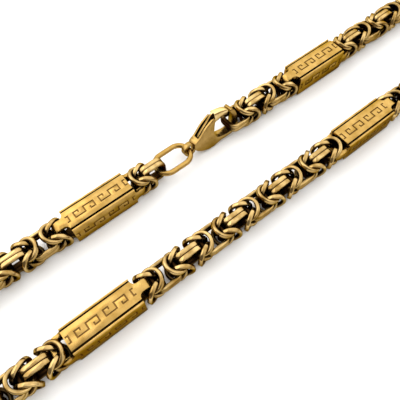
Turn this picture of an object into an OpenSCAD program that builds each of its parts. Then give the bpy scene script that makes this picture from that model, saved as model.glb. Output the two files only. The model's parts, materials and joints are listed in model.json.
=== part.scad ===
// Byzantine chain necklace with square Greek-key bars and a lobster clasp.
// Millimetres. The loop lies on the plane z = 0, with its long strands along X.

/* [Weave] */
// Width of a knot ring's flattened wire, measured towards its centre
ring_wire = 0.82; // [0.7:0.01:0.85]
// Thickness of a knot ring along its axis
ring_thick = 1; // [0.8:0.01:1.05]
// Chamfer along the edges of a knot ring's wire
ring_edge = 0.25; // [0.22:0.01:0.3]
// Tilt of each knot ring from the chain's line, in degrees
ring_tilt = 28.5; // [28.3:0.01:28.8]
// Distance from a connector's centre to the wire of a knot ring inside it
knot_reach = 1.451; // [1.43:0.001:1.48]
// Half the distance between the two ring wires inside a connector
knot_spread = 0.586; // [0.58:0.001:0.61]
// Distance from the raised side of a knot ring to the centre of the next connector pair
raised_back = 0.926; // [0.91:0.001:0.94]

/* [Connectors] */
// Length of a connector ring
connector_l = 6.6; // [6.55:0.01:6.7]
// Gap between the ends of neighbouring connector pairs
connector_gap = 0.153; // [0.145:0.001:0.2]
// Width of a connector ring
connector_w = 6.3; // [6.25:0.01:6.4]
// Outer corner radius of a connector ring
connector_r = 1.9; // [1.85:0.05:2.1]
// Width of a connector ring's wire
connector_wire = 0.84; // [0.7:0.01:0.86]
// Thickness of a connector ring
connector_thick = 1.08; // [0.9:0.01:1.1]
// Gap between the two rings of a pair
pair_gap = 0.16; // [0.12:0.01:0.2]

/* [Bars] */
// Distance between the two centres where a bar takes the place of a connector pair
bar_span = 17.08; // [15:0.1:19]
// Width and height of a bar's square section
bar_section = 6.3; // [6.1:0.05:6.5]
// Thickness of a bar's four plates
bar_plate = 0.9; // [0.7:0.05:1.1]
// Width of the top and bottom plates
bar_plate_w = 4.6; // [4.5:0.05:4.7]
// Height of the two side plates
side_plate_w = 5.9; // [5.7:0.05:6]
// Width of the groove beside each long edge of the top and bottom plates
groove_w = 0.45; // [0.3:0.05:0.5]
// Depth of that groove, from the face of the top or bottom plate
groove_depth = 0.75; // [0.6:0.05:0.8]
// Lap of each plate's edges and the rods in the bar's four corners
corner_lap = 0.25; // [0.2:0.05:0.4]
// Gap between a raised knot ring and the square end of the plates behind it
bar_clear = 0.57; // [0.3:0.01:0.8]
// Length over which a plate narrows to its end tab
bar_shoulder = 1.29; // [0.8:0.01:1.4]

/* [Key Pattern] */
// Depth of the engraved line
key_depth = 0.14; // [0.1:0.01:0.25]
// Width of the engraved line
key_line = 0.34; // [0.25:0.01:0.36]
// Length of one repeat of the key pattern
key_repeat = 6.66; // [6:0.01:7]
// Half the length of one key, from its centre
key_half = 2.6; // [2.2:0.05:2.8]
// Half the height of one key
key_rise = 0.74; // [0.7:0.01:1]
// Plain strip between the pattern and the ends of a plate
key_margin = 0.25; // [0.1:0.05:0.6]

/* [Loop] */
// Distance between the two long strands
strand_gap = 23; // [20:0.5:30]
// Outward turn of the strand beyond the second bar, in degrees
right_turn = 12; // [8:1:16]
// Outward turn of the strand beyond the bar after the clasp, in degrees
left_turn = 8; // [5:1:12]

/* [Clasp] */
// Thickness of the clasp
clasp_t = 2.6; // [2.2:0.1:3]
// Lean of the clasp from the surface that it lies on, in degrees
clasp_lean = 80; // [78:1:90]
// Thickness of each cheek beside the lever's slot
clasp_cheek = 0.5; // [0.4:0.05:0.6]
// Thickness of the lever's tail in the slot
lever_tail_t = 0.6; // [0.5:0.05:0.9]
// Thickness of the lever's arm
lever_arm_t = 1.7; // [1.4:0.1:2.2]
// Radius of the pin that the lever turns on
pin_r = 0.4; // [0.3:0.05:0.45]
// Outer radius of the clasp's eyelet
eyelet_r = 1.85; // [1.7:0.05:2]
// Radius of the hole in the eyelet
eyelet_hole_r = 1.15; // [1.12:0.01:1.2]
// Thickness of the eyelet
eyelet_t = 1.3; // [1.2:0.1:1.4]
// Distance that the clasp reaches from its neck to the links in its hook
hook_reach = 10.69; // [10.6:0.01:10.75]
// Radius of the jump ring's wire
jump_wire_r = 0.68; // [0.5:0.01:0.7]
// Length of the jump ring between the middles of its wire
jump_l = 9.699; // [9:0.001:11]
// Width of the jump ring between the middles of its wire
jump_w = 6; // [5.2:0.1:6.2]
// Gap between the jump ring and the links at its end
jump_gap = 0.15; // [0.1:0.01:0.3]

/* [Hidden] */
$fn = 40;
eps = 0.01;
gold = "goldenrod";

// Pieces between two bars: knots with a connector pair between each two of them
knots = 9;
pitch = connector_l + connector_gap;
run_l = knots * pitch;
step_l = bar_span + run_l;
pair_off = (connector_thick + pair_gap) / 2;
tab_t = 2 * connector_thick + pair_gap;
ring_mid = (pitch - raised_back - knot_reach) / cos(ring_tilt);
ring_cx = knot_reach + ring_mid / 2 * cos(ring_tilt);
ring_cz = knot_spread + ring_mid / 2 * sin(ring_tilt);
raised_z = knot_spread + (ring_mid + ring_wire / 2 - ring_edge) * sin(ring_tilt);
chain_r = raised_z + ring_thick / 2 * cos(ring_tilt);
axis_z = chain_r;

// Where a bar's plates end square: the raised rings of the next knot reach past the centre there
raised_x = ring_wire / 2 * cos(ring_tilt) + ring_thick / 2 * sin(ring_tilt) - raised_back;
bar_setback = raised_x + bar_clear;

// The stretch between the bars on both sides of the clasp: hook-side links, clasp, jump ring
// and one knot. The eyelet's centre is measured from the clasp's neck, and the jump ring's
// wire runs a little off that centre.
hook_knots = 3;
eyelet_u = [-1.5, -0.4];
jump_off = 0.2;
jump_in_r = jump_w / 2 - jump_wire_r;
jump_sag = jump_in_r - sqrt(jump_in_r * jump_in_r - tab_t * tab_t / 4);
jump_bite = connector_l / 2 - connector_wire - jump_wire_r - jump_sag - jump_gap;
clasp_l = connector_l / 2 + hook_reach - eyelet_u[0] + jump_off;
clasp_gap = hook_knots * pitch + clasp_l + jump_l + jump_bite + pitch;

// The route of the chain's axis, in its own plane. The first bar's plates begin at x = 0.
turn_knots = 6;
start = [-bar_setback, -strand_gap / 2, 0];

// Where a strand has turned outward, the next bar runs straight, and the end of the loop
// is one wide arc between two short straight runs that bring it to the opposite strand.
function advance(p, leg, s) =
    leg[1] == 0
        ? [p[0] + s * cos(p[2]), p[1] + s * sin(p[2]), p[2]]
        : let (r = leg[0] * 180 / (PI * leg[1]), h = p[2] + leg[1] * s / leg[0])
            [p[0] + r * (sin(h) - sin(p[2])), p[1] - r * (cos(h) - cos(p[2])), h];
function walk(legs, s, p, i = 0) =
    i == len(legs) - 1 || s <= legs[i][0]
        ? advance(p, legs[i], s)
        : walk(legs, s - legs[i][0], advance(p, legs[i], legs[i][0]), i + 1);
function total(legs, i = 0) = i == len(legs) ? 0 : legs[i][0] + total(legs, i + 1);

// Ends of the loop: the links that leave a turned bar run straight for the lead, turn half
// round plus the outward angle, and run straight for the tail to the opposite bar.
function lead(y, ahead, turn) =
    let (k = 1 + cos(turn), m = (PI + turn * PI / 180 + sin(turn)) / k)
        (run_l + ahead - y * m) / (k + sin(turn) * m);
function bend_r(y, s, turn) = (y + s * sin(turn)) / (1 + cos(turn));

out_turn_l = turn_knots * pitch;
out_straight_l = run_l - out_turn_l;

// First half: bars 1 to 3 on the front strand
legs_right = [[bar_span + run_l + bar_span + out_straight_l, 0], [out_turn_l, -right_turn], [bar_span, 0]];
right_out = walk(legs_right, total(legs_right), start);

// Bar 5 ends at the clasp's stretch on the back strand, bar 4 lies beyond it
bar5_out_x = 83.77;
bar4_in_x = bar5_out_x + bar_span + step_l;
right_y = strand_gap / 2 - right_out[1];
right_lead = lead(right_y, bar4_in_x - right_out[0], right_turn);
right_r = bend_r(right_y, right_lead, right_turn);
right_tail = run_l - right_lead - right_r * (PI + right_turn * PI / 180);

// The back strand, from bar 4 over the clasp to bar 7
legs_to_left = concat(legs_right, [
    [right_lead, 0], [run_l - right_lead - right_tail, 180 + right_turn],
    [right_tail + bar_span + run_l + bar_span + clasp_gap + bar_span + out_straight_l, 0],
    [out_turn_l, -left_turn], [bar_span, 0]]);
left_out = walk(legs_to_left, total(legs_to_left), start);
bar8_in_x = start[0] - step_l;
left_y = left_out[1] + strand_gap / 2;
left_lead = lead(left_y, left_out[0] - bar8_in_x, left_turn);
left_r = bend_r(left_y, left_lead, left_turn);
left_tail = run_l - left_lead - left_r * (PI + left_turn * PI / 180);
route = concat(legs_to_left, [
    [left_lead, 0], [run_l - left_lead - left_tail, 180 + left_turn],
    [left_tail + bar_span + run_l, 0]]);
route_l = total(route);

// Stations along the route where each bar begins, at the centre of its square end
bar_at = [for (i = [0:7]) i * step_l + (i > 4 ? clasp_gap - run_l : 0)];

// The origin is below the middle of the loop
spots = [for (i = [0:240]) walk(route, i * route_l / 240, start)];
spot_x = [for (p = spots) p[0]];
spot_y = [for (p = spots) p[1]];
middle = [(max(spot_x) + min(spot_x)) / 2, (max(spot_y) + min(spot_y)) / 2];

// Puts its children, drawn along +X from the origin, at a station of the route
module at_station(s) {
    p = walk(route, s, start);
    translate([p[0] - middle[0], p[1] - middle[1], axis_z])
        rotate([0, 0, p[2]])
            children();
}

// A rectangle with round corners, centred
module round_rect(l, w, r) {
    square([l - 2 * r, w], center = true);
    square([l, w - 2 * r], center = true);
    for (x = [-1, 1]) {
        for (y = [-1, 1]) {
            translate([x * (l / 2 - r), y * (w / 2 - r)])
                circle(r = r);
        }
    }
}

// One round ring of a knot, lying flat at the origin
module knot_ring() {
    a = ring_wire / 2;
    b = ring_thick / 2;
    e = ring_edge;
    rotate_extrude()
        translate([ring_mid / 2, 0])
            polygon([[-a, -b + e], [-a + e, -b], [a - e, -b], [a, -b + e],
                [a, b - e], [a - e, b], [-a + e, b], [-a, b - e]]);
}

// One connector ring, lying flat at the origin
module connector_ring() {
    linear_extrude(height = connector_thick, center = true)
        difference() {
            round_rect(connector_l, connector_w, connector_r);
            round_rect(connector_l - 2 * connector_wire, connector_w - 2 * connector_wire,
                connector_r - connector_wire);
        }
}

// A pair of connector rings: flat ones lie down, the others stand on edge
module connector_pair(flat) {
    rotate([flat ? 0 : 90, 0, 0])
        for (z = [-pair_off, pair_off]) {
            translate([0, 0, z])
                connector_ring();
        }
}

// The two rings that spread from a connector pair at the origin, towards way = 1 or -1.
// From a standing pair they go up and down, from a flat pair to both sides.
module spread_pair(flat, way) {
    rotate([flat ? 90 : 0, 0, 0])
        for (side = [-1, 1]) {
            translate([way * ring_cx, 0, side * ring_cz])
                rotate([0, -way * side * ring_tilt, 0])
                    knot_ring();
        }
}

// A knot centred on the origin, between a pair at -pitch / 2 and the next at pitch / 2
module knot(flat_first) {
    translate([-pitch / 2, 0, 0])
        spread_pair(flat_first, 1);
    translate([pitch / 2, 0, 0])
        spread_pair(!flat_first, -1);
}

// Woven links after the station s: count knots, with the connector pairs between them.
// The first and last centres belong to bars unless pair_first or pair_last is set.
module links(s, count, flat_first, pair_first, pair_last) {
    color(gold) {
        for (k = [0:count - 1]) {
            at_station(s + (k + 0.5) * pitch)
                knot(flat_first != (k % 2 == 1));
        }
        for (k = [0:count]) {
            if ((k > 0 || pair_first) && (k < count || pair_last)) {
                at_station(s + k * pitch)
                    connector_pair(flat_first != (k % 2 == 1));
            }
        }
    }
}

// One key of the pattern as strips along its path, centred, in shares of its half sizes
key_path = [[-0.56, 0.4], [-0.56, 1], [-1, 1], [-1, -1], [0, -1], [0, 1],
    [1, 1], [1, -1], [0.56, -1], [0.56, -0.4]];
module key_shape() {
    for (i = [0:len(key_path) - 2]) {
        a = [key_path[i][0] * key_half, key_path[i][1] * key_rise];
        b = [key_path[i + 1][0] * key_half, key_path[i + 1][1] * key_rise];
        translate([min(a[0], b[0]) - key_line / 2, min(a[1], b[1]) - key_line / 2])
            square([abs(a[0] - b[0]) + key_line, abs(a[1] - b[1]) + key_line]);
    }
}

// The row of keys along one plate, from its square end at x = 0
plate_l = bar_span - 2 * bar_setback;
key_mid = plate_l / 2;
module key_row() {
    intersection() {
        for (k = [-1.5:1:1.5]) {
            translate([key_mid + k * key_repeat, 0])
                key_shape();
        }
        translate([key_margin, -bar_plate_w / 2])
            square([plate_l - 2 * key_margin, bar_plate_w]);
    }
}

// Half of a bar: two plates joined by the tab at +X, with the pattern on both plates
module bar_half(plate_w) {
    outer_l = bar_span + connector_l / 2 - bar_setback;
    difference() {
        intersection() {
            rotate([90, 0, 0])
                linear_extrude(height = plate_w, center = true)
                    difference() {
                        translate([bar_setback + outer_l / 2 - connector_r / 2, 0])
                            square([outer_l - connector_r, bar_section], center = true);
                        translate([0, -bar_section / 2 + bar_plate])
                            square([bar_span + connector_l / 2 - connector_r, bar_section - 2 * bar_plate]);
                    }
            linear_extrude(height = bar_section + 2, center = true)
                bar_plan(plate_w);
        }
        for (side = [0, 180]) {
            rotate([side, 0, 0])
                translate([bar_setback, 0, bar_section / 2 - key_depth])
                    linear_extrude(height = key_depth + 1)
                        key_row();
        }
    }
    translate([bar_span, 0, 0])
        rotate([90, 0, 0])
            linear_extrude(height = tab_t, center = true)
                tab_profile();
}

// The tab's outline: the rounded end of the bar's loop, seen from the side
module tab_profile() {
    intersection() {
        difference() {
            round_rect(connector_l, bar_section, connector_r);
            round_rect(connector_l - 2 * bar_plate, bar_section - 2 * bar_plate, connector_r - bar_plate);
        }
        translate([connector_l / 2 - connector_r - eps, -bar_section])
            square([connector_r + 1, 2 * bar_section]);
    }
}

// Plan of a plate: full width to its shoulders, then concave to the tab's width
module bar_plan(plate_w) {
    shoulder_x = bar_setback + plate_l;
    r = min(bar_shoulder, (plate_w - tab_t) / 2);
    translate([bar_setback, -plate_w / 2])
        square([plate_l, plate_w]);
    translate([bar_setback, -tab_t / 2])
        square([bar_span + connector_l, tab_t]);
    for (side = [-1, 1]) {
        difference() {
            translate([shoulder_x - eps, side > 0 ? tab_t / 2 - eps : -tab_t / 2 - r + eps])
                square([r, r]);
            translate([shoulder_x + r, side * (tab_t / 2 + r)])
                circle(r = r);
        }
    }
}

// Square rods in the four corners, which join the plates of the two halves
module corner_rods() {
    inner = bar_plate_w / 2 - corner_lap;
    outer = bar_section / 2 - bar_plate + corner_lap;
    for (y = [-1, 1]) {
        for (z = [-1, 1]) {
            translate([bar_span / 2, y * (inner + outer) / 2, z * (inner + outer) / 2])
                cube([plate_l - corner_lap, outer - inner, outer - inner], center = true);
        }
    }
}

// Grooves beside the long edges of the top and bottom plates, seen from above and below
module corner_grooves() {
    floor_z = bar_section / 2 - groove_depth;
    for (y = [-1, 1]) {
        for (z = [-1, 1]) {
            translate([bar_span / 2, y * (bar_plate_w + groove_w) / 2, z * (floor_z + bar_section / 2)])
                cube([plate_l + 1, groove_w, bar_section], center = true);
        }
    }
}

// One hollow square bar from the station s. Its two halves cross, so that one end takes
// the place of a flat pair and the other of a standing pair.
module bar(s) {
    color(gold)
        at_station(s)
            difference() {
                union() {
                    corner_rods();
                    bar_half(bar_plate_w);
                    translate([bar_span, 0, 0])
                        rotate([90, 0, 180])
                            bar_half(side_plate_w);
                }
                corner_grooves();
            }
}

// A plain round strand of the chain's own outer size, where the links are added later
strand_sides = 8;
module strand(s_from, s_to, rings) {
    rows = [for (i = [0:rings - 1]) walk(route, s_from + i * (s_to - s_from) / (rings - 1), start)];
    r = chain_r / cos(180 / strand_sides);
    points = [for (p = rows)
        for (k = [0:strand_sides - 1])
            let (a = (k + 0.5) * 360 / strand_sides)
                [p[0] - middle[0] - r * cos(a) * sin(p[2]), p[1] - middle[1] + r * cos(a) * cos(p[2]),
                    axis_z + r * sin(a)]];
    sides = [for (i = [0:rings - 2])
        for (k = [0:strand_sides - 1])
            let (n = (k + 1) % strand_sides, a = i * strand_sides)
                [a + k, a + strand_sides + k, a + strand_sides + n, a + n]];
    ends = [[for (k = [0:strand_sides - 1]) k],
        [for (k = [strand_sides - 1:-1:0]) (rings - 1) * strand_sides + k]];
    color(gold)
        polyhedron(points, concat(sides, ends));
}

// The last connector pairs on both sides of the clasp
hook_pair_x = bar5_out_x - hook_knots * pitch;
ring_pair_x = bar5_out_x - clasp_gap + pitch;

// Clasp plane: u runs along the strand from the neck, v up the lean, thickness about zero
neck_rise = 0.25;
clasp_neck = [hook_pair_x - connector_l / 2 - hook_reach, strand_gap / 2, axis_z + neck_rise];
pivot = [5.6, 3.6];
pin_gap = 0.05;
module clasp_frame() {
    translate([clasp_neck[0] - middle[0], clasp_neck[1] - middle[1], clasp_neck[2]])
        rotate([clasp_lean, 0, 0])
            children();
}

// A smooth closed curve through the points of a list
function bend(a, b, c, d, t) =
    0.5 * (2 * b + (c - a) * t + (2 * a - 5 * b + 4 * c - d) * t * t + (3 * b - a - 3 * c + d) * t * t * t);
function smooth(p, n = 4) = [for (i = [0:len(p) - 1])
    for (k = [0:n - 1])
        bend(p[(i + len(p) - 1) % len(p)], p[i], p[(i + 1) % len(p)], p[(i + 2) % len(p)], k / n)];

// Outline of the clasp's body and hook, around the belly and back along the opening
body_curve = [[-0.2, 0.9], [1.4, 1.9], [3.4, 3.7], [5.2, 4.8], [6.5, 5.3], [6.8, 4.5], [6.3, 2.6],
    [6.0, 0.6], [6.9, -1.2], [8.8, -1.9], [10.9, -2.05], [12.2, -1.45], [12.7, 0.4], [12.4, 2.4],
    [11.8, 4.0], [11.9, 4.8], [12.7, 4.5], [13.4, 3.0], [13.8, 0.6], [13.2, -1.6], [11.6, -2.85],
    [9.2, -3.0], [7.8, -2.95], [6.0, -3.3], [3.8, -3.35], [1.6, -2.5], [-0.2, -1.0]];

// Outline of the lever, from its tail in the slot to its arm across the opening
lever_curve = [[1.6, 1.3], [3.0, 2.0], [4.6, 2.6], [6.1, 2.75], [7.0, 3.5], [8.4, 3.8], [10.0, 3.95],
    [11.2, 4.05], [11.3, 4.9], [10.0, 5.6], [8.4, 6.05], [7.0, 6.3], [6.2, 5.9], [4.9, 4.6],
    [3.3, 3.3], [1.7, 1.8]];

// Side view of the slot that the lever's tail lies in, open at the top
slot_curve = [[1.2, 7], [1.2, 0.6], [4.6, 1.9], [8, 1.9], [8, 7]];
slot_t = clasp_t - 2 * clasp_cheek;
arm_from = 7.1;

// Body, hook and eyelet in one piece, with the slot and the pin for the lever
module clasp_body() {
    color(gold)
        clasp_frame() {
            difference() {
                linear_extrude(height = clasp_t, center = true)
                    polygon(smooth(body_curve));
                linear_extrude(height = slot_t, center = true)
                    polygon(slot_curve);
            }
            translate([pivot[0], pivot[1], 0])
                cylinder(r = pin_r, h = clasp_t - clasp_cheek, center = true);
            translate([eyelet_u[0], eyelet_u[1], 0])
                difference() {
                    cylinder(r = eyelet_r, h = eyelet_t, center = true);
                    cylinder(r = eyelet_hole_r, h = eyelet_t + 1, center = true);
                }
        }
}

// Lever: a thin tail that turns on the pin, and a thicker arm that closes the hook
module clasp_lever() {
    color(gold)
        clasp_frame()
            difference() {
                union() {
                    linear_extrude(height = lever_tail_t, center = true)
                        polygon(smooth(lever_curve));
                    linear_extrude(height = lever_arm_t, center = true)
                        intersection() {
                            polygon(smooth(lever_curve));
                            translate([arm_from, 0])
                                square([10, 10]);
                        }
                }
                translate([pivot[0], pivot[1], 0])
                    cylinder(r = pin_r + pin_gap, h = clasp_t, center = true);
            }
}

// Oval jump ring between the last standing pair and the clasp's eyelet
jump_to = clasp_neck[0] + eyelet_u[0] - jump_off;
jump_z = clasp_neck[2] + eyelet_u[1] * sin(clasp_lean);
module jump_ring() {
    end_r = jump_w / 2;
    side_l = jump_l - jump_w;
    color(gold)
        translate([jump_to - jump_l / 2 - middle[0], clasp_neck[1] - middle[1], jump_z]) {
            for (way = [-1, 1]) {
                translate([way * side_l / 2, 0, 0])
                    rotate([0, 0, -90 * way])
                        rotate_extrude(angle = 180)
                            translate([end_r, 0])
                                circle(r = jump_wire_r);
                translate([0, way * end_r, 0])
                    rotate([0, 90, 0])
                        cylinder(r = jump_wire_r, h = side_l, center = true);
            }
        }
}

// Stations where the stretches of links and strands begin
strand_clear = connector_l / 2 + 0.6;
end_at = [for (s = bar_at) s + bar_span];
ring_side_at = bar_at[5] - pitch;

bar(bar_at[0]);  // bar_1
bar(bar_at[1]);  // bar_2
bar(bar_at[2]);  // bar_3
bar(bar_at[3]);  // bar_4
bar(bar_at[4]);  // bar_5
bar(bar_at[5]);  // bar_6
bar(bar_at[6]);  // bar_7
bar(bar_at[7]);  // bar_8
links(end_at[0], knots, false, false, false);  // links_front
links(end_at[3], knots, false, false, false);  // links_back
links(end_at[5], knots, false, false, false);  // links_back_left
links(end_at[7], knots, false, false, false);  // links_front_left
links(end_at[4], hook_knots, false, false, true);  // links_hook_side
links(ring_side_at, 1, false, true, false);  // links_ring_side
strand(end_at[1] + strand_clear, bar_at[2] - strand_clear, 14);  // strand_front_right
strand(end_at[2] + strand_clear, bar_at[3] - strand_clear, 30);  // strand_end_right
strand(end_at[6] + strand_clear, bar_at[7] - strand_clear, 30);  // strand_end_left
clasp_body();
clasp_lever();
jump_ring();
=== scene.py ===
"""Looks of a byzantine chain necklace with square Greek-key bars and a lobster clasp."""

import json
import logging
import math
from dataclasses import dataclass, field
from enum import Enum
from typing import Union

import bpy
import numpy as np
from mathutils import Matrix, Vector

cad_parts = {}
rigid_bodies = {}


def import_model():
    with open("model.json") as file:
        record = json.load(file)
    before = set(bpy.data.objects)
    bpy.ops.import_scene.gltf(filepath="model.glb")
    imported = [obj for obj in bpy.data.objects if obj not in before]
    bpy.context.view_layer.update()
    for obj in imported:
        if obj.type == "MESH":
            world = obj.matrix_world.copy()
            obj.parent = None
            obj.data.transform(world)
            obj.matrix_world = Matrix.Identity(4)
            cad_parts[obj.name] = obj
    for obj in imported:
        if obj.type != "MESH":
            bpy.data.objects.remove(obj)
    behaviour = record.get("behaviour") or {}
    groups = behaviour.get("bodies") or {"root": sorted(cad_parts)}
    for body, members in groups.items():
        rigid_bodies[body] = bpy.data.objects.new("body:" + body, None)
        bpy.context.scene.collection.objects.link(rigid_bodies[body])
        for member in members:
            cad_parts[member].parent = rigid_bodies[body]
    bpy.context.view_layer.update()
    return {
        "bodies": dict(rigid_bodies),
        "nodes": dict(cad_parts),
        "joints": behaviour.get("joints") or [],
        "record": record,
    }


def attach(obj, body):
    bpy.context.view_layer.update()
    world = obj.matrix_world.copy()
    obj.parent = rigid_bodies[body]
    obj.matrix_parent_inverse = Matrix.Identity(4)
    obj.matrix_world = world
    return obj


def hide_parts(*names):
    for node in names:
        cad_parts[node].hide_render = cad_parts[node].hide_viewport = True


log = logging.getLogger("byzantine_chain")

MM = 0.001
CHAIN_BODY = "chain"
BAR_COUNT = 8
ALONG_AXIS = 0.9

RGB = tuple[float, float, float]
Point = tuple[float, float, float]
SocketValue = Union[float, RGB, "Signal", bpy.types.NodeSocket]


class Facing(Enum):
    """How a connector pair stands: its rings lie flat or stand on edge."""

    FLAT = "flat"
    STANDING = "standing"

    def turned(self) -> "Facing":
        """The other way of standing."""
        return Facing.STANDING if self is Facing.FLAT else Facing.FLAT


class Signal:
    """A shader value that is worked on with ordinary operators."""

    def __init__(self, sketch: "ShaderSketch", socket: bpy.types.NodeSocket) -> None:
        """Wraps an output socket.

        Args:
            sketch: the node maker that it belongs to.
            socket: the output that carries the value.
        """
        self.sketch = sketch
        self.socket = socket

    def _math(self, operation: str, *values: SocketValue) -> "Signal":
        """Adds one Math node.

        Args:
            operation: the node's operation.
            values: numbers or signals for its sockets.

        Returns:
            The node's output as a signal.
        """
        node = self.sketch.node("ShaderNodeMath", {"operation": operation}, dict(enumerate(values)))
        return Signal(self.sketch, node.outputs[0])

    def __add__(self, other: SocketValue) -> "Signal":
        """Sum of two values."""
        return self._math("ADD", self, other)

    def __radd__(self, other: SocketValue) -> "Signal":
        """Sum with a number on the left."""
        return self._math("ADD", other, self)

    def __sub__(self, other: SocketValue) -> "Signal":
        """Difference of two values."""
        return self._math("SUBTRACT", self, other)

    def __rsub__(self, other: SocketValue) -> "Signal":
        """Difference with a number on the left."""
        return self._math("SUBTRACT", other, self)

    def __mul__(self, other: SocketValue) -> "Signal":
        """Product of two values."""
        return self._math("MULTIPLY", self, other)

    def __rmul__(self, other: SocketValue) -> "Signal":
        """Product with a number on the left."""
        return self._math("MULTIPLY", other, self)

    def clamped(self) -> "Signal":
        """The value kept between 0 and 1."""
        return self._math("MINIMUM", self._math("MAXIMUM", self, 0.0), 1.0)


class ShaderSketch:
    """Makes the nodes of one material or of the world."""

    def __init__(self, owner: bpy.types.Material | bpy.types.World) -> None:
        """Empties the owner's nodes.

        Args:
            owner: the material or world that gets the nodes.
        """
        owner.use_nodes = True
        self.owner = owner
        self.tree = owner.node_tree
        self.tree.nodes.clear()

    def node(
        self, kind: str, settings: dict[str, object], sockets: dict[str | int, SocketValue]
    ) -> bpy.types.Node:
        """Adds a node.

        Args:
            kind: the node's type.
            settings: its settings, and ramp stops under the key stops.
            sockets: values, signals or output sockets by input name or number.

        Returns:
            The new node.
        """
        made = self.tree.nodes.new(kind)
        for key, value in settings.items():
            if key == "stops":
                self._set_stops(made, value)
            else:
                setattr(made, key, value)
        for key, value in sockets.items():
            target = made.inputs[key]
            source = value.socket if isinstance(value, Signal) else value
            if isinstance(source, bpy.types.NodeSocket):
                self.tree.links.new(source, target)
            else:
                target.default_value = source
        return made

    @staticmethod
    def _set_stops(ramp: bpy.types.Node, stops: tuple[tuple[float, RGB], ...]) -> None:
        """Sets a colour ramp's stops.

        Args:
            ramp: the Color Ramp node.
            stops: place and colour of each stop, in order.
        """
        elements = ramp.color_ramp.elements
        while len(elements) < len(stops):
            elements.new(1.0)
        for element, (place, colour) in zip(elements, stops):
            element.position = place
            element.color = (*colour, 1.0)

    def coordinates(self) -> bpy.types.NodeSocket:
        """The piece's own object coordinates."""
        return self.node("ShaderNodeTexCoord", {}, {}).outputs["Object"]

    def attribute(self, name: str) -> Signal:
        """A number that is stored on the mesh.

        Args:
            name: the attribute's name.

        Returns:
            Its value as a signal.
        """
        made = self.node("ShaderNodeAttribute", {"attribute_name": name}, {})
        return Signal(self, made.outputs["Fac"])

    def noise(self, scale: float, detail: float) -> Signal:
        """Cloudy variation over the piece.

        Args:
            scale: how many clouds there are to a metre.
            detail: how many finer layers it has.

        Returns:
            A value from about 0.3 to 0.7.
        """
        made = self.node(
            "ShaderNodeTexNoise",
            {},
            {"Vector": self.coordinates(), "Scale": scale, "Detail": detail},
        )
        return Signal(self, made.outputs["Fac"])

    def blend(
        self, factor: SocketValue, low: SocketValue, high: SocketValue
    ) -> bpy.types.NodeSocket:
        """Mixes two colours.

        Args:
            factor: 0 for low, 1 for high.
            low: a colour or a colour socket.
            high: a colour or a colour socket.

        Returns:
            The mixed colour's socket.
        """
        ends = [(*c, 1.0) if isinstance(c, tuple) else c for c in (low, high)]
        made = self.node(
            "ShaderNodeMix", {"data_type": "RGBA"}, {0: factor, 6: ends[0], 7: ends[1]}
        )
        return made.outputs[2]


@dataclass(frozen=True)
class GoldFinish:
    """Gold plating, with painted shade in the recesses."""

    name: str
    bright: RGB
    shaded: RGB
    roughness: float
    grain: float
    recess: RGB | None = None
    edge_tint: RGB = (0.36, 0.29, 0.16)
    cloud_scale: float = 420.0
    fine_scale: float = 5200.0
    tone_gain: float = 2.4
    tone_offset: float = 0.7
    cloud_roughness: float = 0.16
    fine_roughness: float = 0.10
    noise_roughness: float = 0.13
    recess_roughness: float = 0.22
    bump_depth: float = 0.00004

    def build(self) -> bpy.types.Material:
        """Makes the material.

        Returns:
            The new material.
        """
        sketch = ShaderSketch(bpy.data.materials.new(self.name))
        cloud = sketch.noise(self.cloud_scale, 3.0)
        fine = sketch.noise(self.fine_scale, 2.0)
        lightness = (cloud * self.tone_gain - self.tone_offset).clamped()
        tone = sketch.blend(lightness, self.shaded, self.bright)
        base_roughness = self.roughness - self.noise_roughness
        roughness = cloud * self.cloud_roughness + fine * self.fine_roughness + base_roughness
        # Painted shade: a per-point amount stored on the mesh darkens the tone towards a near-black
        # colour in the recesses.
        if self.recess:
            depth = sketch.attribute("recess").clamped()
            tone = sketch.blend(depth, tone, self.recess)
            roughness = roughness + depth * self.recess_roughness
        bump = sketch.node(
            "ShaderNodeBump",
            {},
            {"Strength": self.grain, "Distance": self.bump_depth, "Height": fine},
        )
        shader = sketch.node(
            "ShaderNodeBsdfPrincipled",
            {},
            {
                "Base Color": tone,
                "Metallic": 1.0,
                "Specular Tint": (*self.edge_tint, 1.0),
                "Roughness": roughness.clamped(),
                "Normal": bump.outputs[0],
            },
        )
        sketch.node("ShaderNodeOutputMaterial", {}, {"Surface": shader.outputs[0]})
        return sketch.owner


@dataclass(frozen=True)
class PlainFloor:
    """The pale floor's finish."""

    colour: RGB = (0.85, 0.85, 0.847)
    roughness: float = 0.85

    def build(self) -> bpy.types.Material:
        """Makes the material.

        Returns:
            The new material.
        """
        sketch = ShaderSketch(bpy.data.materials.new("pale_floor"))
        shader = sketch.node(
            "ShaderNodeBsdfPrincipled",
            {},
            {"Base Color": (*self.colour, 1.0), "Roughness": self.roughness},
        )
        sketch.node("ShaderNodeOutputMaterial", {}, {"Surface": shader.outputs[0]})
        return sketch.owner


LINK_GOLD = GoldFinish(
    name="woven_gold",
    bright=(0.55, 0.388, 0.165),
    shaded=(0.225, 0.128, 0.030),
    roughness=0.11,
    grain=0.06,
    # Near-black colour of the painted shade in the links' recesses.
    recess=(0.022, 0.010, 0.003),
)
BAR_GOLD = GoldFinish(
    name="bar_gold",
    bright=(0.46, 0.29, 0.088),
    shaded=(0.30, 0.175, 0.040),
    roughness=0.24,
    grain=0.16,
)
# Painted shade: a dark gold for the engraved Greek-key lines.
KEY_LINE_SHADE = GoldFinish(
    name="key_line",
    bright=(0.17, 0.09, 0.024),
    shaded=(0.11, 0.056, 0.014),
    roughness=0.45,
    grain=0.1,
)
# Painted shade: near-black for the hollow inside of the bars and their grooves.
BAR_INSIDE_SHADE = GoldFinish(
    name="bar_inside_shade",
    bright=(0.05, 0.025, 0.007),
    shaded=(0.02, 0.010, 0.003),
    roughness=0.5,
    grain=0.1,
)
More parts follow.
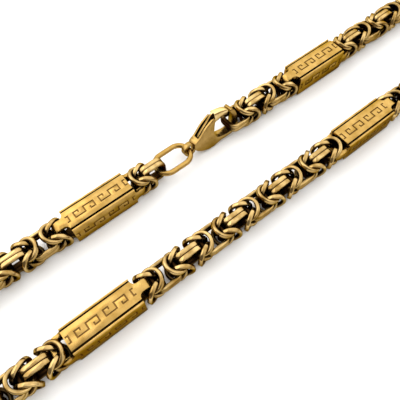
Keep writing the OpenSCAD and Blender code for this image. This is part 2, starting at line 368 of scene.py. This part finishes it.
# A darker copy of the gold: painted shade for the clasp's shaded side.
CLASP_SHADED_GOLD = GoldFinish(
    name="clasp_shaded_gold",
    bright=(0.39, 0.25, 0.08),
    shaded=(0.26, 0.158, 0.045),
    roughness=0.24,
    grain=0.08,
)
# Painted highlight: a brighter copy of the gold for the top of the lever's arm.
ARM_HIGHLIGHT_GOLD = GoldFinish(
    name="arm_highlight_gold",
    bright=(0.80, 0.60, 0.29),
    shaded=(0.62, 0.44, 0.18),
    roughness=0.20,
    grain=0.08,
)
# Painted shade: near-black for the walls and floor of the lever's slot.
CLASP_SLOT_SHADE = GoldFinish(
    name="clasp_slot_shade",
    bright=(0.04, 0.020, 0.006),
    shaded=(0.015, 0.008, 0.003),
    roughness=0.5,
    grain=0.1,
)
FINISHES = (LINK_GOLD, BAR_GOLD, KEY_LINE_SHADE, BAR_INSIDE_SHADE, CLASP_SHADED_GOLD, ARM_HIGHLIGHT_GOLD, CLASP_SLOT_SHADE)


@dataclass
class WeaveSizes:
    """Sizes of the woven links in millimetres, as the solids have them."""

    pitch: float = 6.753
    ring_d: float = 5.799
    ring_wire: float = 0.82
    ring_thick: float = 1.0
    ring_edge: float = 0.27
    ring_tilt: float = math.radians(28.5)
    knot_reach: float = 1.451
    knot_spread: float = 0.586
    connector_l: float = 6.6
    connector_w: float = 6.3
    connector_r: float = 1.9
    connector_wire: float = 0.84
    connector_thick: float = 1.08
    connector_edge: float = 0.26
    pair_gap: float = 0.16
    axis_z: float = 3.47773
    snug: float = 0.04

    @property
    def ring_mid(self) -> float:
        """Diameter of a knot ring at the middle of its wire."""
        return self.ring_d - self.ring_wire

    @property
    def pair_off(self) -> float:
        """Distance of a connector ring from the middle of its pair."""
        return (self.connector_thick + self.pair_gap) / 2


@dataclass
class ChainRoute:
    """The way of the chain's axis round the loop, in millimetres, with degrees for its turns."""

    weave: WeaveSizes
    bar_span: float = 17.08
    bar_setback: float = 0.242894
    strand_gap: float = 23.0
    right_turn: float = 12.0
    left_turn: float = 8.0
    clasp_gap: float = 53.7202
    bar5_out_x: float = 83.77
    knots: int = 9
    turn_knots: int = 6
    hook_knots: int = 3
    ring_knots: int = 1
    bars_before_clasp: int = 5
    middle: tuple[float, float] = (51.6518, -1.12586)
    legs: list[tuple[float, float]] = field(default_factory=list)

    def __post_init__(self) -> None:
        """Works out the legs so that the loop closes."""
        self.start = (-self.bar_setback, -self.strand_gap / 2, 0.0)
        run, span = self.run_l, self.bar_span
        turn_l = self.turn_knots * self.weave.pitch
        straight_l = run - turn_l
        self.legs = [(2 * span + run + straight_l, 0.0), (turn_l, -self.right_turn), (span, 0.0)]
        out = self.pose(self.total())
        bar4_in_x = self.bar5_out_x + span + self.step_l
        across = self.strand_gap / 2 - out[1]
        lead, tail = self.end_bend(across, bar4_in_x - out[0], self.right_turn)
        self.legs += [
            (lead, 0.0),
            (run - lead - tail, 180 + self.right_turn),
            (tail + 3 * span + run + self.clasp_gap + straight_l, 0.0),
            (turn_l, -self.left_turn),
            (span, 0.0),
        ]
        out = self.pose(self.total())
        bar8_in_x = self.start[0] - self.step_l
        across = out[1] + self.strand_gap / 2
        lead, tail = self.end_bend(across, out[0] - bar8_in_x, self.left_turn)
        self.legs += [
            (lead, 0.0),
            (run - lead - tail, 180 + self.left_turn),
            (tail + span + run, 0.0),
        ]

    @property
    def run_l(self) -> float:
        """Length of the woven links between two bars."""
        return self.knots * self.weave.pitch

    @property
    def step_l(self) -> float:
        """Length of a bar and the links after it."""
        return self.bar_span + self.run_l

    def end_bend(self, across: float, ahead: float, turn: float) -> tuple[float, float]:
        """Straight lengths before and after the arc at an end of the loop.

        Args:
            across: distance from the outward bar's end to the opposite strand.
            ahead: how far the opposite bar starts beyond that end.
            turn: the outward turn in degrees.

        Returns:
            The lengths before and after the arc.
        """
        w = math.radians(turn)
        k = 1 + math.cos(w)
        m = (math.pi + w + math.sin(w)) / k
        lead = (self.run_l + ahead - across * m) / (k + math.sin(w) * m)
        radius = (across + lead * math.sin(w)) / k
        return lead, self.run_l - lead - radius * (math.pi + w)

    def total(self) -> float:
        """Length of the legs."""
        return sum(leg[0] for leg in self.legs)

    def pose(self, s: float) -> tuple[float, float, float]:
        """Place and heading at a station.

        Args:
            s: distance along the route.

        Returns:
            x, y and the heading in degrees.
        """
        x, y, heading = self.start
        for i, (length, turn) in enumerate(self.legs):
            step = s if i == len(self.legs) - 1 else min(s, length)
            a = math.radians(heading)
            if turn == 0:
                x, y = x + step * math.cos(a), y + step * math.sin(a)
            else:
                r = length / math.radians(turn)
                b = a + math.radians(turn) * step / length
                x, y = x + r * (math.sin(b) - math.sin(a)), y - r * (math.cos(b) - math.cos(a))
                heading = math.degrees(b)
            s -= step
            if s <= 0:
                break
        return x, y, heading

    def frame_at(self, s: float) -> Matrix:
        """The frame of a station, in metres, with X along the route.

        Args:
            s: distance along the route.

        Returns:
            The placing matrix.
        """
        x, y, heading = self.pose(s)
        place = Vector((x - self.middle[0], y - self.middle[1], self.weave.axis_z)) * MM
        return Matrix.Translation(place) @ Matrix.Rotation(math.radians(heading), 4, "Z")

    def bar_at(self, number: int) -> float:
        """Station where a bar begins.

        Args:
            number: the bar's number, from 1.

        Returns:
            The station of the centre of its square end.
        """
        extra = self.clasp_gap - self.run_l if number > self.bars_before_clasp else 0.0
        return (number - 1) * self.step_l + extra


@dataclass(frozen=True)
class SoftLight:
    """A square area light that points at the middle of the view."""

    name: str
    place: Point
    side: float
    power: float
    colour: RGB

    def build(self) -> None:
        """Adds the light to the scene."""
        data = bpy.data.lights.new(self.name, "AREA")
        data.shape = "SQUARE"
        data.size = self.side
        data.energy = self.power
        data.color = self.colour
        lamp = bpy.data.objects.new(self.name, data)
        bpy.context.scene.collection.objects.link(lamp)
        lamp.location = self.place
        lamp.rotation_mode = "QUATERNION"
        lamp.rotation_quaternion = (-Vector(self.place)).to_track_quat("-Z", "Y")


@dataclass
class Studio:
    """Plain floor, soft light and the camera at the photograph's angle."""

    camera_place: Point = (-39.18, -39.73, 93.36)
    view_line: Point = (0.2801, 0.3813, -0.8810)
    roll: float = -0.041
    focal_px: float = 430.2
    image_px: float = 400.0
    sensor: float = 36.0
    nearest: float = 0.005
    farthest: float = 20.0
    floor_side: float = 12.0
    sky_strength: float = 2.3
    bright_side: Point = (0.55, 0.45, 0.70)
    sky_stops: tuple[tuple[float, RGB], ...] = (
        (0.0, (0.12, 0.11, 0.10)),
        (0.45, (0.50, 0.49, 0.47)),
        (0.78, (0.85, 0.85, 0.85)),
        (1.0, (1.0, 1.0, 1.0)),
    )
    lights: tuple[SoftLight, ...] = (
        SoftLight("key_light", (-0.40, 0.42, 0.46), 0.80, 3.8, (1.0, 0.99, 0.97)),
        SoftLight("front_light", (0.15, -0.55, 0.45), 0.90, 2.0, (1.0, 1.0, 1.0)),
    )

    def build(self) -> None:
        """Makes the floor, the camera, the lights and the world."""
        self._floor()
        self._camera()
        for light in self.lights:
            light.build()
        self._world()
        bpy.context.scene.view_settings.view_transform = "Standard"

    def _floor(self) -> None:
        """A wide flat floor under the chain."""
        bpy.ops.object.select_all(action="DESELECT")
        bpy.ops.mesh.primitive_plane_add(size=self.floor_side, location=(0, 0, 0))
        floor = bpy.context.object
        floor.name = "floor"
        floor.data.materials.append(PlainFloor().build())

    def _camera(self) -> None:
        """The camera, with the focal length that the strands' perspective gives."""
        data = bpy.data.cameras.new("camera")
        data.sensor_width = self.sensor
        data.lens = self.sensor * self.focal_px / self.image_px
        data.clip_start = self.nearest
        data.clip_end = self.farthest
        camera = bpy.data.objects.new("camera", data)
        bpy.context.scene.collection.objects.link(camera)
        ahead = Vector(self.view_line).normalized()
        level = ahead.cross(Vector((0, 0, 1))).normalized()
        up = level.cross(ahead)
        right = level * math.cos(self.roll) + up * math.sin(self.roll)
        top = right.cross(ahead)
        turn = Matrix((right, top, -ahead)).transposed().to_4x4()
        camera.matrix_world = Matrix.Translation(Vector(self.camera_place) * MM) @ turn
        bpy.context.scene.camera = camera

    def _world(self) -> None:
        """Soft light from all round, dimmer low down on the camera's side, seen as white."""
        world = bpy.data.worlds.new("studio")
        bpy.context.scene.world = world
        sketch = ShaderSketch(world)
        direction = sketch.node("ShaderNodeTexCoord", {}, {}).outputs["Generated"]
        side = sketch.node(
            "ShaderNodeVectorMath",
            {"operation": "DOT_PRODUCT"},
            {0: direction, 1: self.bright_side},
        )
        ramp = sketch.node(
            "ShaderNodeValToRGB", {"stops": self.sky_stops}, {"Fac": side.outputs["Value"]}
        )
        soft = sketch.node(
            "ShaderNodeBackground",
            {},
            {"Color": ramp.outputs["Color"], "Strength": self.sky_strength},
        )
        plain = sketch.node("ShaderNodeBackground", {}, {"Color": (1.0, 1.0, 1.0, 1.0)})
        seen = sketch.node("ShaderNodeLightPath", {}, {}).outputs["Is Camera Ray"]
        mixed = sketch.node(
            "ShaderNodeMixShader", {}, {0: seen, 1: soft.outputs[0], 2: plain.outputs[0]}
        )
        sketch.node("ShaderNodeOutputWorld", {}, {"Surface": mixed.outputs[0]})


@dataclass
class Form:
    """A shape that repeats: its points, the way each faces, its faces and the painted shade on its
    recesses.
    """

    points: np.ndarray
    normals: np.ndarray
    faces: list[tuple[int, ...]]
    # Painted shade amount at each point, from 0 to 1.
    recess: np.ndarray


@dataclass
class LinkForms:
    """The two kinds of ring, each modelled once, with lengths in millimetres."""

    weave: WeaveSizes
    ring_steps: int = 32
    ring_edge_segments: int = 2
    corner_steps: int = 5
    connector_edge_segments: int = 3
    near: float = 0.001
    # How far across the wire the painted shade on a ring's hole side reaches.
    recess_share: float = 0.55

    def knot_ring(self) -> Form:
        """A round ring: its wire's section with soft corners, spun once round.

        Returns:
            The ring's form, lying flat at the origin.
        """
        w = self.weave
        bpy.ops.object.select_all(action="DESELECT")
        bpy.ops.mesh.primitive_plane_add(size=1.0, location=(0, 0, 0))
        ring = bpy.context.object
        bpy.ops.object.mode_set(mode="EDIT")
        bpy.ops.mesh.select_all(action="SELECT")
        fuller = 2 * w.snug
        bpy.ops.transform.resize(value=(w.ring_wire + fuller, w.ring_thick + fuller, 1))
        bpy.ops.mesh.bevel(
            offset=w.ring_edge, segments=self.ring_edge_segments, affect="VERTICES"
        )
        bpy.ops.mesh.delete(type="ONLY_FACE")
        bpy.ops.mesh.select_all(action="SELECT")
        bpy.ops.transform.rotate(value=math.pi / 2, orient_axis="X", center_override=(0, 0, 0))
        bpy.ops.transform.translate(value=(w.ring_mid / 2, 0, 0))
        bpy.ops.mesh.spin(
            steps=self.ring_steps, angle=2 * math.pi, center=(0, 0, 0), axis=(0, 0, 1), dupli=False
        )
        return self._finished(ring, w.ring_mid / 2 - w.ring_wire / 2 - w.snug, w.ring_wire)

    def connector_ring(self) -> Form:
        """A rounded rectangular ring: an outline that is inset, raised and softened.

        Returns:
            The ring's form, lying flat at the origin.
        """
        w = self.weave
        bpy.ops.object.select_all(action="DESELECT")
        bpy.ops.mesh.primitive_plane_add(size=1.0, location=(0, 0, 0))
        ring = bpy.context.object
        bpy.ops.object.mode_set(mode="EDIT")
        bpy.ops.mesh.select_all(action="SELECT")
        fuller = 2 * w.snug
        bpy.ops.transform.resize(value=(w.connector_l + fuller, w.connector_w + fuller, 1))
        bpy.ops.mesh.bevel(offset=w.connector_r, segments=self.corner_steps, affect="VERTICES")
        bpy.ops.mesh.select_all(action="SELECT")
        bpy.ops.mesh.inset(thickness=w.connector_wire + fuller)
        bpy.ops.mesh.delete(type="FACE")
        bpy.ops.mesh.select_all(action="SELECT")
        bpy.ops.mesh.extrude_region_move(
            TRANSFORM_OT_translate={"value": (0, 0, w.connector_thick + fuller)}
        )
        bpy.ops.mesh.select_all(action="SELECT")
        bpy.ops.transform.translate(value=(0, 0, -w.connector_thick / 2 - w.snug))
        bpy.ops.mesh.select_mode(type="EDGE")
        bpy.ops.mesh.select_all(action="DESELECT")
        bpy.ops.object.mode_set(mode="OBJECT")
        points = np.array([v.co[:] for v in ring.data.vertices])
        out = self._inside_rectangle(points)
        for edge in ring.data.edges:
            a, b = edge.vertices
            level = abs(points[a, 2] - points[b, 2]) < self.near
            edge.select = bool(level and abs(out[a] - out[b]) < w.connector_wire / 2)
        bpy.ops.object.mode_set(mode="EDIT")
        bpy.ops.mesh.bevel(
            offset=w.connector_edge, segments=self.connector_edge_segments, affect="EDGES"
        )
        return self._finished(ring, None, w.connector_wire)

    def _finished(self, ring: bpy.types.Object, inner_r: float | None, wire: float) -> Form:
        """Closes a ring's mesh, reads it and removes the object.

        Args:
            ring: the object in edit mode.
            inner_r: the hole's radius, or None on a rounded rectangle.
            wire: width of the ring's wire.

        Returns:
            The ring's form.
        """
        bpy.ops.mesh.select_all(action="SELECT")
        bpy.ops.mesh.remove_doubles(threshold=self.near)
        bpy.ops.mesh.normals_make_consistent(inside=False)
        bpy.ops.object.mode_set(mode="OBJECT")
        points = np.array([v.co[:] for v in ring.data.vertices])
        normals = np.array([v.normal[:] for v in ring.data.vertices])
        faces = [tuple(p.vertices) for p in ring.data.polygons]
        if inner_r is None:
            inner = self._inside_rectangle(points)
        else:
            inner = np.hypot(points[:, 0], points[:, 1]) - inner_r
        # Painted shade: points near the ring's hole get darker.
        recess = np.clip(1.0 - inner / (self.recess_share * wire), 0, 1)
        mesh = ring.data
        bpy.data.objects.remove(ring)
        bpy.data.meshes.remove(mesh)
        return Form(points, normals, faces, recess)

    def _inside_rectangle(self, points: np.ndarray) -> np.ndarray:
        """Distance of each point outward from the hole of a connector ring.

        Args:
            points: the ring's points.

        Returns:
            The distances in millimetres.
        """
        w = self.weave
        r = w.connector_r - w.connector_wire
        half = np.array([w.connector_l, w.connector_w]) / 2 - w.connector_r
        out = np.maximum(np.abs(points[:, :2]) - half, 0)
        flat = np.max(np.abs(points[:, :2]) - half, axis=1)
        return np.where(flat > 0, np.hypot(out[:, 0], out[:, 1]), 0) - r


@dataclass
class ChainRun:
    """Woven links of one stretch as a single piece, with lengths in millimetres."""

    route: ChainRoute
    knot_form: Form
    connector_form: Form
    # Painted shade: darker within bright_r of the chain's axis, fading over fade_r, and on faces
    # turned in towards the axis.
    bright_r: float = 2.9
    fade_r: float = 1.0
    side_shade: float = 0.8
    side_from: float = 0.35
    side_span: float = 0.6
    smooth_angle: float = math.radians(50)

    def spread_pair(self, facing: Facing, way: int) -> list[Matrix]:
        """Places of the two rings that spread from a connector pair.

        Args:
            facing: how the connector pair stands.
            way: 1 along the route, -1 against it.

        Returns:
            The rings' places in millimetres, from the pair's centre.
        """
        w = self.route.weave
        x = w.knot_reach + w.ring_mid / 2 * math.cos(w.ring_tilt)
        z = w.knot_spread + w.ring_mid / 2 * math.sin(w.ring_tilt)
        lay = Matrix.Rotation(math.pi / 2 if facing is Facing.FLAT else 0.0, 4, "X")
        return [
            lay
            @ Matrix.Translation((way * x, 0, side * z))
            @ Matrix.Rotation(-way * side * w.ring_tilt, 4, "Y")
            for side in (-1, 1)
        ]

    def connector_pair(self, facing: Facing) -> list[Matrix]:
        """Places of the two rings of a connector pair.

        Args:
            facing: how the pair stands.

        Returns:
            The rings' places in millimetres.
        """
        lay = Matrix.Rotation(0.0 if facing is Facing.FLAT else math.pi / 2, 4, "X")
        off = self.route.weave.pair_off
        return [lay @ Matrix.Translation((0, 0, z)) for z in (-off, off)]

    def build(
        self, name: str, node: str, start: float, count: int, first: Facing, pairs: range
    ) -> bpy.types.Object:
        """Makes the piece.

        Args:
            name: the piece's name.
            node: the solid that it stands for.
            start: station of its first centre.
            count: how many knots it has.
            first: how the pair or bar tab at its first centre stands.
            pairs: the centres that have a connector pair.

        Returns:
            The new object.
        """
        pitch = self.route.weave.pitch
        scale = Matrix.Scale(MM, 4)
        batches = []
        facing = first
        for k in range(count):
            frame = self.route.frame_at(start + (k + 0.5) * pitch) @ scale
            for offset, side, way in ((-pitch / 2, facing, 1), (pitch / 2, facing.turned(), -1)):
                shift = Matrix.Translation((offset, 0, 0))
                for place in self.spread_pair(side, way):
                    batches.append((self.knot_form, shift @ place, frame))
            facing = facing.turned()
        for k in pairs:
            facing = first if k % 2 == 0 else first.turned()
            frame = self.route.frame_at(start + k * pitch) @ scale
            for place in self.connector_pair(facing):
                batches.append((self.connector_form, place, frame))
        piece = self._joined(name, batches)
        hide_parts(node)
        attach(piece, CHAIN_BODY)
        log.info("%s: %d rings, %d faces", name, len(batches), len(piece.data.polygons))
        return piece

    def _joined(self, name: str, batches: list[tuple[Form, Matrix, Matrix]]) -> bpy.types.Object:
        """Joins placed rings into one mesh, with painted shade that grows darker towards the middle
        of the chain.

        Args:
            name: the piece's name.
            batches: each ring's form, its place in the chain's frame, and that frame.

        Returns:
            The new object at the origin.
        """
        points, faces, recess = [], [], []
        for form, place, frame in batches:
            base = sum(len(p) for p in points)
            m, f = np.array(place), np.array(frame)
            local = form.points @ m[:3, :3].T + m[:3, 3]
            points.append(local @ f[:3, :3].T + f[:3, 3])
            faces += [tuple(i + base for i in face) for face in form.faces]
            # Painted shade: darker near the chain's axis, on the rings' hole sides and on faces
            # turned inwards.
            from_axis = np.hypot(local[:, 1], local[:, 2])
            depth = np.clip((self.bright_r - from_axis) / self.fade_r, 0, 1)
            normals = form.normals @ m[:3, :3].T
            outward = (normals[:, 1] * local[:, 1] + normals[:, 2] * local[:, 2]) / from_axis
            turned_in = np.clip((self.side_from - outward) / self.side_span, 0, 1)
            side = self.side_shade * turned_in
            recess.append(np.maximum.reduce([form.recess, depth, side]))
        mesh = bpy.data.meshes.new(name)
        mesh.from_pydata(np.vstack(points).tolist(), [], faces)
        # The painted shade is stored on the mesh for the link material.
        store = mesh.attributes.new("recess", "FLOAT", "POINT")
        store.data.foreach_set("value", np.concatenate(recess).astype(np.float32))
        mesh.materials.append(bpy.data.materials[LINK_GOLD.name])
        piece = bpy.data.objects.new(name, mesh)
        bpy.context.scene.collection.objects.link(piece)
        bpy.ops.object.select_all(action="DESELECT")
        piece.select_set(True)
        bpy.context.view_layer.objects.active = piece
        bpy.ops.object.shade_smooth_by_angle(angle=self.smooth_angle)
        return piece


@dataclass
class SquareBars:
    """The engraved bars: the solids stay, with softened edges, their gold and painted shade in
    their lines, grooves and inside.
    """

    route: ChainRoute
    section: float = 6.3
    plate: float = 0.9
    plate_half: float = 2.3
    groove_w: float = 0.45
    groove_depth: float = 0.75
    key_depth: float = 0.14
    key_half: float = 2.3
    key_end: float = 0.15
    edge: float = 0.06
    near: float = 0.02
    inside_margin: float = 0.05
    inside_outward: float = 0.1
    groove_rim: float = 0.1

    def dress(self, nodes: dict[str, bpy.types.Object]) -> None:
        """Gives every bar its materials.

        Args:
            nodes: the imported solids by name.
        """
        for number in range(1, BAR_COUNT + 1):
            bar = nodes[f"bar_{number}"]
            self._dress_one(bar, self.route.frame_at(self.route.bar_at(number)))
            soften(bar, self.edge)
            log.info("%s dressed", bar.name)

    def _dress_one(self, bar: bpy.types.Object, frame: Matrix) -> None:
        """Paints shade into the engraved lines, the grooves and the inside of one bar.

        Args:
            bar: the bar's solid.
            frame: its place on the route.
        """
        bar.data.materials.clear()
        for finish in (BAR_GOLD, KEY_LINE_SHADE, BAR_INSIDE_SHADE):
            bar.data.materials.append(bpy.data.materials[finish.name])
        back = frame.inverted()
        turn = back.to_3x3()
        outer = self.section / 2
        for face in bar.data.polygons:
            centre = (back @ face.center) / MM
            normal = turn @ face.normal
            reach = max(abs(centre.y), abs(centre.z))
            outward = normal.y * centre.y + normal.z * centre.z
            in_wall = reach < outer - self.plate + self.inside_margin
            below_face = outer - self.key_depth - self.near < reach < outer - self.near
            # Painted shade: the hollow inside, the grooves and the engraved lines get the dark
            # materials.
            if in_wall and outward < self.inside_outward:
                face.material_index = 2
            elif self._in_groove(centre, normal):
                face.material_index = 2
            elif below_face and self._on_plate(centre):
                face.material_index = 1

    def _in_groove(self, centre: Vector, normal: Vector) -> bool:
        """Whether a face lies in a groove beside the top or the bottom plate.

        Args:
            centre: the face's centre in the bar's frame.
            normal: its normal there.

        Returns:
            True for the groove's floor and its two walls.
        """
        floor = self.section / 2 - self.groove_depth
        across = abs(centre.y) - self.plate_half
        beside = -self.near < across < self.groove_w + self.near
        on_top = abs(normal.z) > ALONG_AXIS and abs(centre.z) > floor + self.groove_rim
        return beside and abs(centre.z) > floor - self.near and not on_top

    def _on_plate(self, centre: Vector) -> bool:
        """Whether a sunken face belongs to an engraved line.

        Args:
            centre: the face's centre in the bar's frame.

        Returns:
            True for the floor and the walls of a line.
        """
        across = min(abs(centre.y), abs(centre.z))
        along = self.key_end < centre.x < self.route.bar_span - self.key_end
        return across < self.key_half and along


@dataclass
class LobsterClasp:
    """The clasp and its jump ring: the solids stay, with softened edges and their finishes: a
    darker gold as painted shade on the clasp, painted shade in the lever's slot and a painted
    highlight on the lever's arm.
    """

    route: ChainRoute
    edge: float = 0.22
    neck: tuple[float, float, float] = (49.521, 11.5, 3.72773)
    lean: float = math.radians(80)
    slot_half: float = 0.8
    tail_half: float = 0.3
    slot_from: float = 1.15
    floor_from: float = 1.2
    floor_low: float = 0.6
    floor_run: float = 3.4
    floor_rise: float = 1.3
    arm_from: float = 7.1
    arm_overlap: float = 0.6
    near_wall: float = 0.03
    near_floor: float = 0.04

    def dress(self, nodes: dict[str, bpy.types.Object]) -> None:
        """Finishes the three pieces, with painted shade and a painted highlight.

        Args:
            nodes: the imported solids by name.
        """
        for name, finish, slot, edge in (
            ("clasp_body", CLASP_SHADED_GOLD, "clasp_gold", self.edge),
            ("clasp_lever", CLASP_SHADED_GOLD, "clasp_gold", self.edge * 0.5),
            ("jump_ring", BAR_GOLD, "link_gold", 0.0),
        ):
            piece = nodes[name]
            piece.data.materials.clear()
            for used in (finish, CLASP_SLOT_SHADE, ARM_HIGHLIGHT_GOLD):
                piece.data.materials.append(bpy.data.materials[used.name])
            self._paint_slot_shade_and_arm_highlight(piece, self.slot_half if name == "clasp_body" else self.tail_half)
            soften(piece, edge)
            log.info("%s dressed", name)

    def _paint_slot_shade_and_arm_highlight(self, piece: bpy.types.Object, half: float) -> None:
        """Paints shade into the lever's slot and a painted highlight on the lever's arm.

        Args:
            piece: the clasp's body, its lever or the jump ring.
            half: half the width of the slot or of the lever's tail.
        """
        corner = Vector(self.neck) - Vector((*self.route.middle, 0))
        back = (Matrix.Translation(corner * MM) @ Matrix.Rotation(self.lean, 4, "X")).inverted()
        turn = back.to_3x3()
        for face in piece.data.polygons:
            u, v, w = (back @ face.center) / MM
            sideways = abs((turn @ face.normal).z) > ALONG_AXIS
            wall = sideways and abs(abs(w) - half) < self.near_wall and u < self.arm_from
            climb = min(u - self.floor_from, self.floor_run) * self.floor_rise / self.floor_run
            in_slot = abs(w) < self.slot_half and self.slot_from < u < self.arm_from
            on_floor = in_slot and abs(v - (self.floor_low + climb)) < self.near_floor
            # Painted shade on the slot's walls and floor; painted highlight on the lever's arm.
            if wall or on_floor:
                face.material_index = 1
            elif piece.name == "clasp_lever" and u > self.arm_from - self.arm_overlap:
                face.material_index = 2


WELD_GAP = 0.000002
BEVEL_SEGMENTS = 2
BEVEL_ANGLE = math.radians(50)
SMOOTH_ANGLE = math.radians(35)


def soften(piece: bpy.types.Object, edge: float) -> None:
    """Closes a solid's loose triangles for display and rounds its sharp edges.

    Args:
        piece: the solid.
        edge: width of the rounding in millimetres, or 0 for none.
    """
    weld = piece.modifiers.new("weld", "WELD")
    weld.merge_threshold = WELD_GAP
    if edge:
        bevel = piece.modifiers.new("soft_edges", "BEVEL")
        bevel.width = edge * MM
        bevel.segments = BEVEL_SEGMENTS
        bevel.limit_method = "ANGLE"
        bevel.angle_limit = BEVEL_ANGLE
        bevel.harden_normals = True
    bpy.ops.object.select_all(action="DESELECT")
    piece.select_set(True)
    bpy.context.view_layer.objects.active = piece
    bpy.ops.object.shade_smooth_by_angle(angle=SMOOTH_ANGLE)


def build_links(route: ChainRoute) -> None:
    """Makes the woven stretches that stand for the loose rings and the plain strands.

    Args:
        route: the chain's route.
    """
    forms = LinkForms(route.weave)
    run = ChainRun(route, forms.knot_ring(), forms.connector_ring())
    full = range(1, route.knots)
    for name, node, bar in (
        ("woven_front", "links_front", 1),
        ("woven_front_right", "strand_front_right", 2),
        ("woven_end_right", "strand_end_right", 3),
        ("woven_back", "links_back", 4),
        ("woven_back_left", "links_back_left", 6),
        ("woven_end_left", "strand_end_left", 7),
        ("woven_front_left", "links_front_left", 8),
    ):
        start = route.bar_at(bar) + route.bar_span
        run.build(name, node, start, route.knots, Facing.STANDING, full)
    hook, ring = route.hook_knots, route.ring_knots
    start = route.bar_at(route.bars_before_clasp) + route.bar_span
    pairs = range(1, hook + 1)
    run.build("woven_hook_side", "links_hook_side", start, hook, Facing.STANDING, pairs)
    start = route.bar_at(route.bars_before_clasp + 1) - ring * route.weave.pitch
    pairs = range(0, ring)
    run.build("woven_ring_side", "links_ring_side", start, ring, Facing.STANDING, pairs)


def main() -> None:
    """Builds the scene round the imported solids."""
    logging.basicConfig(level=logging.INFO, format="%(message)s")
    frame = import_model()
    route = ChainRoute(WeaveSizes())
    for finish in FINISHES:
        finish.build()
    Studio().build()
    build_links(route)
    SquareBars(route).dress(frame["nodes"])
    LobsterClasp(route).dress(frame["nodes"])


if __name__ == "__main__":
    main()
